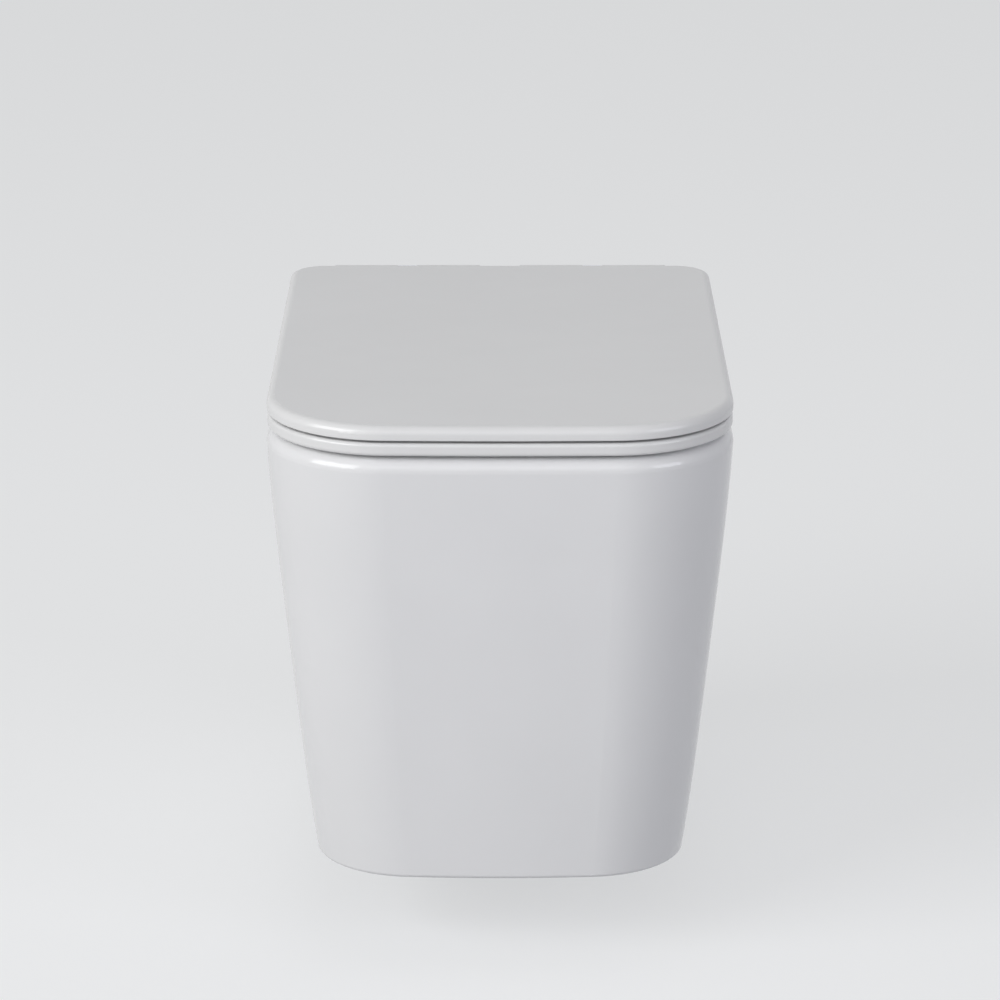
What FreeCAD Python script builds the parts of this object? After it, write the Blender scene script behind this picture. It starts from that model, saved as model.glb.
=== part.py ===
import FreeCAD, Part
import math
import os
import re
import Sketcher

# A wall hung toilet: a one-piece ceramic pan, a seat ring and a lid on one hinge line, and the
# concealed fixings. Millimetres. The wall is the plane y = 0 and the toilet stands out along -Y.
# The origin is midway between the two wall studs. Distances called front and back are measured
# out from the wall.

DRIVING = [
    # pan, outside
    ("pan_top", "80"),
    ("pan_height", "345.5"),
    ("pan_front_top", "544"),
    ("pan_front_base", "518.5"),
    ("pan_half_top", "181.4"),
    ("inset_upper", "3.3"),
    ("inset_middle", "18.7"),
    ("inset_lower", "30.1"),
    ("inset_base", "37.2"),
    ("pan_corner_top", "94.5"),
    ("pan_corner_base", "76.6"),
    ("pan_bow_top", "2850"),
    ("pan_bow_base", "913"),
    ("side_taper", "0.765"),
    ("cut_past", "1"),
    ("behind_wall", "40"),
    ("pan_top_round", "10.5"),
    ("pan_base_round", "3"),
    # pan, walls
    ("shroud_wall", "10"),
    ("deck_thickness", "12"),
    ("bowl_wall", "9"),
    # bowl
    ("rim_width_side", "40.4"),
    ("rim_width_front", "41"),
    ("bowl_back_rim", "152"),
    ("bowl_corner_front", "84"),
    ("bowl_corner_back", "62"),
    ("bowl_bow", "1500"),
    ("flush_shelf_drop", "46"),
    ("flush_shelf_width", "12"),
    ("bowl_rim_round", "5"),
    ("sump_half", "42"),
    ("sump_front", "352"),
    ("sump_back", "262"),
    ("sump_corner", "38"),
    ("sump_floor_rise", "14"),
    # trapway and waste outlet
    ("outlet_drop", "100"),
    ("outlet_bore_radius", "40"),
    ("outlet_spigot_radius", "51"),
    ("trap_start", "305"),
    ("trap_rise", "110"),
    ("trap_bend_radius", "72"),
    ("trap_bend_angle", "66"),
    ("trap_level_run", "86"),
    ("spigot_setback", "6"),
    # flush inlet
    ("inlet_above_outlet", "135"),
    ("inlet_bore_radius", "27.5"),
    ("inlet_socket_radius", "37"),
    ("inlet_socket_depth", "44"),
    ("inlet_setback", "8"),
    ("flush_way_width", "76"),
    ("flush_way_height", "26"),
    ("flush_way_wall", "8"),
    ("flush_way_drop", "31"),
    # lid
    ("lid_gap", "2.2"),
    ("lid_thickness", "11"),
    ("lid_plate", "5.5"),
    ("lid_edge_band", "9"),
    ("lid_side_reveal", "0.8"),
    ("lid_overhang", "1"),
    ("lid_back_gap", "0.5"),
    ("lid_corner_back", "28"),
    ("lid_top_round", "6.5"),
    ("lid_lower_round", "1.2"),
    # seat ring
    ("seat_gap", "3"),
    ("seat_thickness", "10"),
    ("seat_back_gap", "15.9"),
    ("seat_inset", "0.4"),
    ("seat_cover_side", "27"),
    ("seat_cover_front", "23"),
    ("seat_cover_back", "53"),
    ("seat_hole_corner_front", "92"),
    ("seat_hole_corner_back", "84"),
    ("seat_hole_bow", "700"),
    ("seat_edge_round", "2.8"),
    ("seat_hole_round", "4"),
    # hinge line
    ("hinge_from_wall", "42.5"),
    ("hinge_above_pan", "15.5"),
    ("hinge_spacing", "155"),
    ("hinge_hole_offset", "12"),
    ("hinge_hole_radius", "7.25"),
    ("knuckle_radius", "7.6"),
    ("post_width", "15"),
    ("post_foot_height", "7.4"),
    ("post_stem_half", "6"),
    ("seat_knuckle_length", "52.4"),
    ("lid_knuckle_length", "52.4"),
    ("knuckle_end_gap", "0.6"),
    ("knuckle_blind_end", "3"),
    ("seat_arm_drop", "9"),
    ("damper_radius", "6"),
    ("damper_length", "46"),
    ("damper_key_width", "2.4"),
    ("damper_key_height", "0.8"),
    ("pin_radius", "4"),
    ("pin_flat_half", "3"),
    ("pin_in_damper", "20"),
    ("pin_in_bush", "26"),
    ("bush_length", "30"),
    ("pin_end_room", "1"),
    ("running_clearance", "0.05"),
    # hinge fixings
    ("base_disc_radius", "20"),
    ("base_disc_thickness", "1.6"),
    ("gasket_thickness", "1"),
    ("hinge_screw_radius", "3"),
    ("hinge_screw_head_radius", "5.2"),
    ("hinge_screw_head_height", "4"),
    ("hinge_screw_length", "50"),
    ("hinge_socket_flats", "4.6"),
    ("sleeve_radius", "6.9"),
    ("sleeve_flare_radius", "9.5"),
    ("sleeve_flare_length", "12"),
    ("nut_cone_height", "10"),
    ("screw_head_sunk", "0.5"),
    ("gasket_inset", "0.5"),
    ("nut_edge_inset", "1"),
    ("screw_hole_clearance", "0.2"),
    ("thread_clearance", "0.1"),
    ("seat_clearance", "0.3"),
    # wall fixings
    ("stud_spacing", "180"),
    ("stud_hole_radius", "6.5"),
    ("bracket_plate", "8"),
    ("bracket_half_height", "20"),
    ("bracket_before_stud", "18"),
    ("bracket_past_stud", "20"),
    ("bracket_reach", "72"),
    ("stud_washer_radius", "11"),
    ("stud_washer_thickness", "2.5"),
    ("stud_nut_flats", "18"),
    ("stud_nut_height", "10"),
    ("stud_nut_bore", "6.1"),
    ("rib_thickness", "12"),
    ("rib_reach", "80"),
    ("rib_bottom", "-42"),
    ("side_screw_from_wall", "50"),
    ("side_screw_radius", "4"),
    ("side_screw_head_radius", "6.5"),
    ("side_screw_head_height", "5"),
    ("side_screw_tail", "4"),
    ("side_socket_flats", "5.2"),
    ("rib_bush_radius", "8"),
    ("rib_bush_flange_radius", "12"),
    ("rib_bush_flange", "2.5"),
    ("access_hole_radius", "11"),
    ("cap_flange_radius", "13.5"),
    ("cap_flange", "1.8"),
    ("cap_plug_length", "9"),
    ("cap_plug_wall", "1.6"),
    ("cap_rim_round", "0.8"),
    # soft pads
    ("lid_pad_radius", "7"),
    ("seat_pad_length", "38"),
    ("seat_pad_width", "12"),
    ("pad_foot_round", "0.9"),
    ("pad_peg_radius", "2.4"),
    ("pad_peg_length", "3"),
    ("lid_pad_inset", "23.6"),
    ("seat_pad_inset", "21.4"),
    ("pad_front_inset", "108"),
    ("pad_back_inset", "135.4"),
]

DERIVED = [
    ("pan_base", "pan_top - pan_height"),
    ("pan_half_upper", "pan_half_top - inset_upper"),
    ("pan_half_middle", "pan_half_top - inset_middle"),
    ("pan_half_lower", "pan_half_top - inset_lower"),
    ("pan_half_base", "pan_half_top - inset_base"),
    ("deck_underside", "pan_top - deck_thickness"),
    ("bowl_half_rim", "pan_half_top - rim_width_side"),
    ("bowl_front_rim", "pan_front_top - rim_width_front"),
    ("flush_shelf", "pan_top - flush_shelf_drop"),
    ("flush_way_centre", "pan_top - flush_way_drop"),
    ("sump_floor", "pan_base + sump_floor_rise"),
    ("seat_underside", "pan_top + seat_gap"),
    ("seat_top", "seat_underside + seat_thickness"),
    ("lid_underside", "seat_top + lid_gap"),
    ("lid_top", "lid_underside + lid_thickness"),
    ("lid_recess_top", "lid_top - lid_plate"),
    ("lid_half", "pan_half_top - lid_side_reveal"),
    ("lid_front", "pan_front_top + lid_overhang"),
    ("lid_back", "hinge_from_wall + knuckle_radius + lid_back_gap"),
    ("seat_back", "hinge_from_wall + knuckle_radius + seat_back_gap"),
    ("seat_hole_half", "bowl_half_rim - seat_cover_side"),
    ("seat_hole_front", "bowl_front_rim - seat_cover_front"),
    ("seat_hole_back", "bowl_back_rim + seat_cover_back"),
    ("hinge_height", "pan_top + hinge_above_pan"),
    ("hinge_hole_from_wall", "hinge_from_wall + hinge_hole_offset"),
    ("inlet_height", "inlet_above_outlet - outlet_drop"),
    ("knuckle_bore", "damper_radius + running_clearance"),
    ("post_inner", "hinge_spacing / 2 - post_width / 2"),
    ("post_outer", "hinge_spacing / 2 + post_width / 2"),
    ("seat_knuckle_outer", "post_inner - knuckle_end_gap"),
    ("seat_knuckle_inner", "seat_knuckle_outer - seat_knuckle_length"),
    ("lid_knuckle_inner", "post_outer + knuckle_end_gap"),
    ("lid_knuckle_outer", "lid_knuckle_inner + lid_knuckle_length"),
    ("base_disc_top", "pan_top + gasket_thickness + base_disc_thickness"),
    ("post_foot_top", "base_disc_top + post_foot_height"),
    ("screw_seat", "post_foot_top - hinge_screw_head_height - screw_head_sunk"),
    ("bracket_inner", "stud_spacing / 2 - bracket_before_stud"),
    ("bracket_outer", "stud_spacing / 2 + bracket_past_stud"),
    ("rib_inner", "bracket_outer + seat_clearance"),
    ("rib_outer", "rib_inner + rib_thickness"),
    ("lid_pad_middle", "lid_half - lid_edge_band - lid_pad_inset"),
    ("seat_pad_middle", "pan_half_top - seat_pad_inset"),
    ("pad_front_from_wall", "pan_front_top - pad_front_inset"),
    ("pad_back_from_wall", "lid_back + pad_back_inset"),
]

doc = FreeCAD.newDocument("wall_hung_toilet")
sheet = doc.addObject("Spreadsheet::Sheet", "Sizes")
NAMES = {name for name, text in DRIVING + DERIVED}


def on_sheet(text):
    """The expression with each size's name pointed at the sheet."""
    return re.sub(r"[a-z_]+", lambda m: "Sizes." + m[0] if m[0] in NAMES else m[0], text)


for row, (name, text) in enumerate(DRIVING, start=1):
    sheet.set(f"A{row}", name)
    sheet.set(f"B{row}", text)
    sheet.setAlias(f"B{row}", name)
for row, (name, text) in enumerate(DERIVED, start=len(DRIVING) + 1):
    sheet.set(f"A{row}", name)
    sheet.set(f"B{row}", "=" + text)
    sheet.setAlias(f"B{row}", name)
doc.recompute()

reader = doc.addObject("App::FeaturePython", "Reader")
reader.addProperty("App::PropertyFloat", "Value")


def number(text):
    """What an expression in the sheet's names comes to."""
    reader.setExpression("Value", on_sheet(text))
    reader.recompute()
    return reader.Value


def bind(thing, prop, text):
    thing.setExpression(prop, on_sheet(text))


# ---------------------------------------------------------------- sketched forms


def new_body(name):
    body = doc.addObject("PartDesign::Body", name)
    body.Label = name
    return body


def plane_of(body, role):
    return [f for f in body.Origin.OriginFeatures if f.Role == role][0]


def new_sketch(body, name, role, offset):
    """A sketch on one of the body's own planes, or a free level one where body is None."""
    if body is None:
        sketch = doc.addObject("Sketcher::SketchObject", name)
        bind(sketch, "Placement.Base.z", offset)
        return sketch
    sketch = body.newObject("Sketcher::SketchObject", name)
    sketch.AttachmentSupport = [(plane_of(body, role), "")]
    sketch.MapMode = "FlatFace"
    bind(sketch, "AttachmentOffset.Base.z", offset)
    return sketch


def arc(cx, cy, radius, start, end):
    circle = Part.Circle(FreeCAD.Vector(cx, cy, 0), FreeCAD.Vector(0, 0, 1), radius)
    return Part.ArcOfCircle(circle, start, end)


def line(x1, y1, x2, y2):
    return Part.LineSegment(FreeCAD.Vector(x1, y1, 0), FreeCAD.Vector(x2, y2, 0))


def datum(sketch, text, *constraint):
    """A sized constraint that follows the sheet."""
    value = number(text)
    if constraint[0] == "Angle":
        value = math.radians(value)
        text = f"({text}) * 1deg"
    index = sketch.addConstraint(Sketcher.Constraint(*constraint, value))
    bind(sketch, f"Constraints[{index}]", text)


def outline(body, name, level, half, front, back, corner, bow, back_corner=None):
    """A level outline: straight back, sides that part a little to the front, a bowed front.

    half is where the straight sides would meet the front line. With no back_corner the back's
    two corners are sharp, as where the pan meets the wall.
    """
    sketch = new_sketch(body, name, "XY_Plane", level)
    taper = math.radians(number("side_taper"))
    w, f, b, r, bow_r = (number(x) for x in (half, front, back, corner, bow))
    rb = number(back_corner) if back_corner else 0.0

    cx, cy = w - r, r - f
    for _ in range(6):
        cx = w - (f + cy) * math.tan(taper) - r / math.cos(taper)
        cy = bow_r - f - math.sqrt((bow_r - r) ** 2 - cx**2)
    turn = math.atan2(cx, bow_r - f - cy)
    side_x, side_y = cx + r * math.cos(taper), cy + r * math.sin(taper)
    bx = w - (f - b - rb) * math.tan(taper) - rb / math.cos(taper)
    by = -b - rb
    top_x, top_y = bx + rb * math.cos(taper), by + rb * math.sin(taper)

    quarter = math.pi / 2
    edges = [
        line(-bx, -b, bx, -b),
        line(top_x, top_y, side_x, side_y),
        arc(cx, cy, r, turn - quarter, taper),
        arc(0, bow_r - f, bow_r, -quarter - turn, turn - quarter),
        arc(-cx, cy, r, math.pi - taper, 3 * quarter - turn),
        line(-side_x, side_y, -top_x, top_y),
    ]
    if back_corner:
        edges.append(arc(bx, by, rb, taper, quarter))
        edges.append(arc(-bx, by, rb, quarter, math.pi - taper))
    sketch.addGeometry(edges, False)
    joins = [
        ("Tangent", 1, 2, 2, 2),
        ("Tangent", 2, 1, 3, 2),
        ("Tangent", 3, 1, 4, 2),
        ("Tangent", 4, 1, 5, 1),
        ("Symmetric", 0, 1, 0, 2, -2),
        ("Symmetric", 1, 2, 5, 1, -2),
        ("Equal", 2, 4),
    ]
    if back_corner:
        joins += [
            ("Tangent", 0, 2, 6, 2),
            ("Tangent", 6, 1, 1, 1),
            ("Tangent", 5, 2, 7, 2),
            ("Tangent", 7, 1, 0, 1),
            ("Equal", 6, 7),
        ]
    else:
        joins += [("Coincident", 0, 2, 1, 1), ("Coincident", 5, 2, 0, 1)]
    for join in joins:
        sketch.addConstraint(Sketcher.Constraint(*join))

    spread = f"(({front}) - ({back})"
    if back_corner:
        datum(sketch, back_corner, "Radius", 6)
        spread += f" - ({back_corner})) * tan(side_taper * 1deg)"
        spread += f" + ({back_corner}) / cos(side_taper * 1deg)"
    else:
        spread += ") * tan(side_taper * 1deg)"
    datum(sketch, corner, "Radius", 2)
    datum(sketch, bow, "Radius", 3)
    datum(sketch, f"({half}) - ({spread})", "DistanceX", -1, 1, 0, 2)
    datum(sketch, f"-({back})", "DistanceY", -1, 1, 0, 2)
    datum(sketch, f"({bow}) - ({front})", "DistanceY", -1, 1, 3, 3)
    datum(sketch, "side_taper - 90", "Angle", 1)
    return sketch


def loft(name, sections):
    """A smooth form through level outlines, lowest first; each is outline's arguments."""
    form = doc.addObject("Part::Loft", name)
    form.Sections = [outline(None, f"{name}_{i}", *s) for i, s in enumerate(sections)]
    form.Solid = True
    doc.recompute()
    return form


def pad(body, sketch, length):
    feature = body.newObject("PartDesign::Pad", sketch.Name + "_pad")
    feature.Profile = sketch
    bind(feature, "Length", length)
    doc.recompute()
    return feature


def pocket(body, sketch, length, upwards):
    """A pocket cut from the sketch's plane; upwards is towards the sketch's own normal."""
    before = body.Shape.Volume
    feature = body.newObject("PartDesign::Pocket", sketch.Name + "_pocket")
    feature.Profile = sketch
    feature.Reversed = upwards
    bind(feature, "Length", length)
    doc.recompute()
    assert body.Shape.Volume < before - 1, sketch.Name
    return feature


def round_edges(body, radius, wanted):
    """Rounds the edges of the body's last feature that wanted(edge) picks."""
    base = body.Tip
    picked = [f"Edge{i}" for i, e in enumerate(base.Shape.Edges, start=1) if wanted(e)]
    feature = body.newObject("PartDesign::Fillet", f"{body.Name}_round")
    feature.Base = (base, picked)
    bind(feature, "Radius", radius)
    doc.recompute()
    return feature


def rounded(name, base, *rounds):
    """A plain form with edges rounded; each round is a size's name and a pick of edges."""
    doc.recompute()
    thing = doc.addObject("Part::Fillet", name)
    thing.Label = name
    thing.Base = base
    thing.Edges = [
        (i, number(radius), number(radius))
        for i, e in enumerate(base.Shape.Edges, start=1)
        for radius, wanted in rounds
        if wanted(e)
    ]
    doc.recompute()
    return thing


def lies_at(edge, level):
    box = edge.BoundBox
    return abs(box.ZMin - level) < 0.01 and abs(box.ZMax - level) < 0.01


# ---------------------------------------------------------------- plain forms

TURNS = {
    "X": FreeCAD.Rotation(FreeCAD.Vector(0, 1, 0), 90),
    "Y": FreeCAD.Rotation(FreeCAD.Vector(1, 0, 0), -90),
    "Z": FreeCAD.Rotation(),
}


def place(thing, at, axis="Z"):
    thing.Placement = FreeCAD.Placement(FreeCAD.Vector(), TURNS[axis])
    for letter, text in zip("xyz", at):
        bind(thing, f"Placement.Base.{letter}", text)
    return thing


def made(kind, name):
    thing = doc.addObject(kind, name)
    thing.Label = name
    return thing


def rod(name, axis, at, radius, length):
    """A cylinder that runs from at along +axis."""
    thing = made("Part::Cylinder", name)
    bind(thing, "Radius", radius)
    bind(thing, "Height", length)
    return place(thing, at, axis)


def cone(name, at, low_radius, high_radius, height):
    thing = made("Part::Cone", name)
    bind(thing, "Radius1", low_radius)
    bind(thing, "Radius2", high_radius)
    bind(thing, "Height", height)
    return place(thing, at)


def hexagon(name, axis, at, flats, length):
    """A hexagonal prism that runs from at along +axis."""
    thing = made("Part::Prism", name)
    thing.Polygon = 6
    bind(thing, "Circumradius", f"({flats}) / sqrt(3)")
    bind(thing, "Height", length)
    return place(thing, at, axis)


def block(name, low, high):
    """A box from its low corner to its high one."""
    thing = made("Part::Box", name)
    for prop, a, b in zip(("Length", "Width", "Height"), low, high):
        bind(thing, prop, f"({b}) - ({a})")
    return place(thing, low)


def cut(name, base, *tools):
    thing = made("Part::Cut", name)
    thing.Base = base
    thing.Tool = tools[0] if len(tools) == 1 else fuse(name + "_tools", *tools)
    return thing


def fuse(name, *shapes):
    thing = made("Part::MultiFuse", name)
    thing.Shapes = list(shapes)
    return thing


def common(name, *shapes):
    thing = made("Part::MultiCommon", name)
    thing.Shapes = list(shapes)
    return thing


def mirrored(name, source):
    """The same piece on the other side of the toilet's middle plane."""
    thing = made("Part::Mirroring", name)
    thing.Source = source
    thing.Normal = FreeCAD.Vector(1, 0, 0)
    return thing


def group(name, *shapes):
    thing = made("Part::Compound", name)
    thing.Links = list(shapes)
    return thing


def pair(name, right):
    """A node of two equal pieces, one each side."""
    return group(name, right, mirrored(name + "_other", right))


# ---------------------------------------------------------------- pan


def at_share(low, high, share):
    return f"{low} + ({high} - {low}) * {share}"


PAN_SECTIONS = [  # share of the height, half width there
    ("0", "pan_half_base"),
    ("0.143", "pan_half_lower"),
    ("0.429", "pan_half_middle"),
    ("0.857", "pan_half_upper"),
    ("1", "pan_half_top"),
]


def pan_section(share, half, inset):
    """One level of the pan's outside, or of its hollow when inset by the wall.

    The outline runs on behind the wall's plane, where it is cut off.
    """
    level = at_share("pan_base", "pan_top", share)
    front = f"{at_share('pan_front_base', 'pan_front_top', share)} - {inset}"
    corner = f"{at_share('pan_corner_base', 'pan_corner_top', share)} - {inset}"
    bow = f"{at_share('pan_bow_base', 'pan_bow_top', share)} - {inset}"
    return level, f"{half} - {inset}", front, "-behind_wall", corner, bow, "behind_wall / 2"


def pan_loft(name, inset):
    return loft(name, [pan_section(share, half, inset) for share, half in PAN_SECTIONS])


def pan_outside():
    form = pan_loft("pan_form", "0")
    smooth = rounded(
        "pan_form_rounded",
        form,
        ("pan_top_round", lambda e: lies_at(e, number("pan_top"))),
        ("pan_base_round", lambda e: lies_at(e, number("pan_base"))),
    )
    room = block(
        "room_side",
        ("-pan_half_top", "-pan_front_top - pan_top", "pan_base - cut_past"),
        ("pan_half_top", "0", "pan_top + cut_past"),
    )
    return common("pan_outside", smooth, room)


def pan_hollow():
    """The space inside the shroud, open to the wall, cut off under the deck and over the base."""
    layer = block(
        "pan_hollow_layer",
        ("-pan_half_top", "-pan_front_top", "pan_base + shroud_wall"),
        ("pan_half_top", "2 * shroud_wall", "deck_underside"),
    )
    return common("pan_hollow", pan_loft("pan_hollow_full", "shroud_wall"), layer)


BOWL_LEVELS = [  # share of the way down from shelf to sump floor, share of the way in
    ("0", "0"),
    ("0.30", "0.17"),
    ("0.58", "0.47"),
    ("0.80", "0.84"),
    ("1", "1"),
]


def bowl_section(down, inward, grow):
    """One level of the bowl below the flush shelf, between the shelf's edge and the sump."""
    level = at_share("flush_shelf", "sump_floor", down)
    if down == "1":
        level = f"{level} - {grow} / 3"
    half = at_share("(bowl_half_rim - flush_shelf_width)", "sump_half", inward)
    front = at_share("(bowl_front_rim - flush_shelf_width)", "sump_front", inward)
    back = at_share("(bowl_back_rim + flush_shelf_width)", "sump_back", inward)
    corner = at_share("(bowl_corner_front - flush_shelf_width)", "sump_corner", inward)
    back_corner = at_share("(bowl_corner_back - flush_shelf_width)", "sump_corner", inward)
    bow = at_share("bowl_bow", "(3 * sump_half)", inward)
    return (
        level,
        f"{half} + {grow}",
        f"{front} + {grow}",
        f"{back} - {grow}",
        f"{corner} + {grow}",
        f"{bow} + {grow}",
        f"{back_corner} + {grow}",
    )


def bowl_form(name, grow):
    levels = [bowl_section(down, inward, grow) for down, inward in reversed(BOWL_LEVELS)]
    return loft(name, levels)


def rim_well(name, grow, low, height):
    """The upright part of the bowl above the flush shelf."""
    body = new_body(name)
    sketch = outline(
        body,
        name + "_outline",
        low,
        f"bowl_half_rim + {grow}",
        f"bowl_front_rim + {grow}",
        f"bowl_back_rim - {grow}",
        f"bowl_corner_front + {grow}",
        f"bowl_bow + {grow}",
        f"bowl_corner_back + {grow}",
    )
    pad(body, sketch, height)
    return body


def trap_path():
    """The trapway's centre line, from the sump up over the weir and level to the wall."""
    bend = math.radians(number("trap_bend_angle"))
    radius = number("trap_bend_radius")
    low, high = number("-outlet_drop - trap_rise"), number("-outlet_drop")
    slope = (number("trap_rise") - 2 * radius * (1 - math.cos(bend))) / math.sin(bend)
    crest_y = -number("trap_level_run")
    rise_y = crest_y - radius * math.sin(bend)
    foot_y = rise_y - slope * math.cos(bend)
    sump_y = foot_y - radius * math.sin(bend)

    def at(y, z):
        return FreeCAD.Vector(0, y, z)

    half = bend / 2
    drop = radius * (1 - math.cos(bend))
    crest_mid = at(crest_y - radius * math.sin(half), high - radius * (1 - math.cos(half)))
    foot_mid = at(sump_y + radius * math.sin(half), low + radius * (1 - math.cos(half)))
    foot, rise = at(foot_y, low + drop), at(rise_y, high - drop)
    edges = [
        Part.LineSegment(at(-number("trap_start"), low), at(sump_y, low)),
        Part.Arc(at(sump_y, low), foot_mid, foot),
        Part.LineSegment(foot, rise),
        Part.Arc(rise, crest_mid, at(crest_y, high)),
        Part.LineSegment(at(crest_y, high), at(-number("spigot_setback"), high)),
    ]
    return Part.Wire([e.toShape() for e in edges])


def trap_tube(name, radius):
    path = trap_path()
    start = path.Vertexes[0].Point
    ring = Part.makeCircle(number(radius), start, FreeCAD.Vector(0, 1, 0))
    tube = made("Part::Feature", name)
    tube.Shape = path.makePipeShell([Part.Wire(ring)], True, False)
    return tube


def flush_way(name, grow, start, reach):
    """The level slot that brings water from the inlet to the back of the bowl."""
    half = "(flush_way_width - flush_way_height) / 2"
    radius = f"flush_way_height / 2 + {grow}"
    ends = [
        rod(f"{name}_end_{i}", "Y", (f"{side} * {half}", f"-({reach})", "flush_way_centre"),
            radius, f"({reach}) - ({start})")
        for i, side in enumerate(("-1", "1"))
    ]
    middle = block(
        name + "_middle",
        (f"-{half}", f"-({reach})", f"flush_way_centre - ({radius})"),
        (half, f"-({start})", f"flush_way_centre + ({radius})"),
    )
    return fuse(name, middle, *ends)


def wall_rib():
    """The upright ceramic rib behind the deck that carries the side screw's bush."""
    low = ("rib_inner", "-rib_reach", "rib_bottom")
    high = ("rib_outer", "0", "deck_underside + cut_past")
    return block("rib_right", low, high)


def access_line(outside):
    """Where the side screw's line leaves the pan, and the way the pan's side faces there."""
    y = -number("side_screw_from_wall")
    reach = Part.makeLine(
        FreeCAD.Vector(number("rib_outer"), y, 0), FreeCAD.Vector(number("2 * pan_half_top"), y, 0)
    )
    point = reach.common(outside.Shape).Vertexes[-1].Point
    if point.x < number("rib_outer + cut_past"):
        point = reach.common(outside.Shape).Vertexes[0].Point
    vertex = Part.Vertex(point)
    face = min(outside.Shape.Faces, key=lambda f: f.distToShape(vertex)[0])
    u, v = face.Surface.parameter(point)
    normal = face.normalAt(u, v)
    if normal.x < 0:
        normal = normal * -1
    return point, normal


def pan_ware(outside):
    """All the pan's ceramic before its ways are opened, kept within the outside."""
    rib = wall_rib()
    inlet = rod(
        "inlet_outside", "Y",
        ("0", "-inlet_setback - inlet_socket_depth - flush_way_wall", "inlet_height"),
        "inlet_socket_radius", "inlet_socket_depth + flush_way_wall",
    )
    ware = fuse(
        "pan_ware_uncut",
        cut("pan_shell", outside, pan_hollow()),
        bowl_form("bowl_outside", "bowl_wall"),
        rim_well("rim_outside", "bowl_wall", "flush_shelf - bowl_wall / 2",
                 "deck_underside - flush_shelf + bowl_wall / 2 + cut_past"),
        trap_tube("trap_outside", "outlet_spigot_radius"),
        inlet,
        flush_way("flush_way_outside", "flush_way_wall", "inlet_setback + inlet_socket_depth",
                  "bowl_back_rim"),
        rib,
        mirrored("rib_left", rib),
    )
    return common("pan_ware", ware, outside)


def access_hole(point, normal):
    """The hole in the pan's side through which the side screw is reached."""
    hole = made("Part::Cylinder", "access_hole")
    bind(hole, "Radius", "access_hole_radius")
    bind(hole, "Height", "3 * shroud_wall")
    turn = FreeCAD.Rotation(FreeCAD.Vector(0, 0, 1), normal)
    hole.Placement = FreeCAD.Placement(point - normal * number("2 * shroud_wall"), turn)
    return hole


def pan_ways(point, normal):
    """Everything that is opened in the pan: bowl, trapway, flush way and fixing holes."""
    fixing_holes = [
        access_hole(point, normal),
        rod("rib_hole", "X", ("rib_inner - cut_past", "-side_screw_from_wall", "0"),
            "rib_bush_radius + seat_clearance", "rib_thickness + 2 * cut_past"),
        rod("hinge_hole", "Z",
            ("hinge_spacing / 2", "-hinge_hole_from_wall", "deck_underside - cut_past"),
            "hinge_hole_radius", "deck_thickness + 2 * cut_past"),
    ]
    return [
        bowl_form("bowl_inside", "0"),
        rim_well("rim_inside", "0", "flush_shelf", "pan_top - flush_shelf + cut_past"),
        trap_tube("trap_inside", "outlet_bore_radius"),
        rod("inlet_bore", "Y", ("0", "-inlet_setback - inlet_socket_depth", "inlet_height"),
            "inlet_bore_radius", "inlet_socket_depth + inlet_setback + cut_past"),
        flush_way("flush_way_inside", "0", "inlet_setback + inlet_socket_depth",
                  "bowl_back_rim + 3 * cut_past"),
        *fixing_holes,
        *[mirrored(hole.Name + "_left", hole) for hole in fixing_holes],
    ]


def on_bowl_rim(edge):
    box = edge.BoundBox
    half = number("bowl_half_rim + 3")
    back, front = -number("bowl_back_rim - 3"), -number("bowl_front_rim + 3")
    level = lies_at(edge, number("pan_top"))
    return level and front < box.YMin and box.YMax < back and -half < box.XMin and box.XMax < half


def make_pan():
    """The pan, and for the side caps the point and the way its side faces at the access hole."""
    outside = pan_outside()
    ware = pan_ware(outside)
    doc.recompute()
    point, normal = access_line(outside)
    carved = cut("pan_carved", ware, *pan_ways(point, normal))
    return rounded("pan", carved, ("bowl_rim_round", on_bowl_rim)), point, normal


# ---------------------------------------------------------------- lid and seat

HINGE_LINE = ("-hinge_from_wall", "hinge_height")


def knuckle_way(name, low, high):
    """The bore of a right-hand knuckle for its damper or bush, with the slot for the key."""
    bore = rod(name + "_bore", "X", (low, *HINGE_LINE), "knuckle_bore", f"({high}) - ({low})")
    half = "(damper_key_width / 2 + running_clearance)"
    slot = block(
        name + "_slot",
        (low, f"-hinge_from_wall - {half}",
         "hinge_height - damper_radius - damper_key_height - running_clearance"),
        (high, f"-hinge_from_wall + {half}", "hinge_height"),
    )
    return fuse(name, bore, slot)


def four_rods(name, centre_x, level, radius, length):
    """Four upright rods where the pads of lid or seat are: their pegs, peg holes or feet."""
    right = [
        rod(f"{name}_{end}", "Z", (centre_x, f"-pad_{end}_from_wall", level), radius, length)
        for end in ("front", "back")
    ]
    return right + [mirrored(thing.Name + "_left", thing) for thing in right]


def peg_holes(name, centre_x, level):
    return four_rods(name, centre_x, f"{level} - cut_past", "pad_peg_radius + running_clearance",
                     "pad_peg_length + cut_past + seat_clearance")


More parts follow.
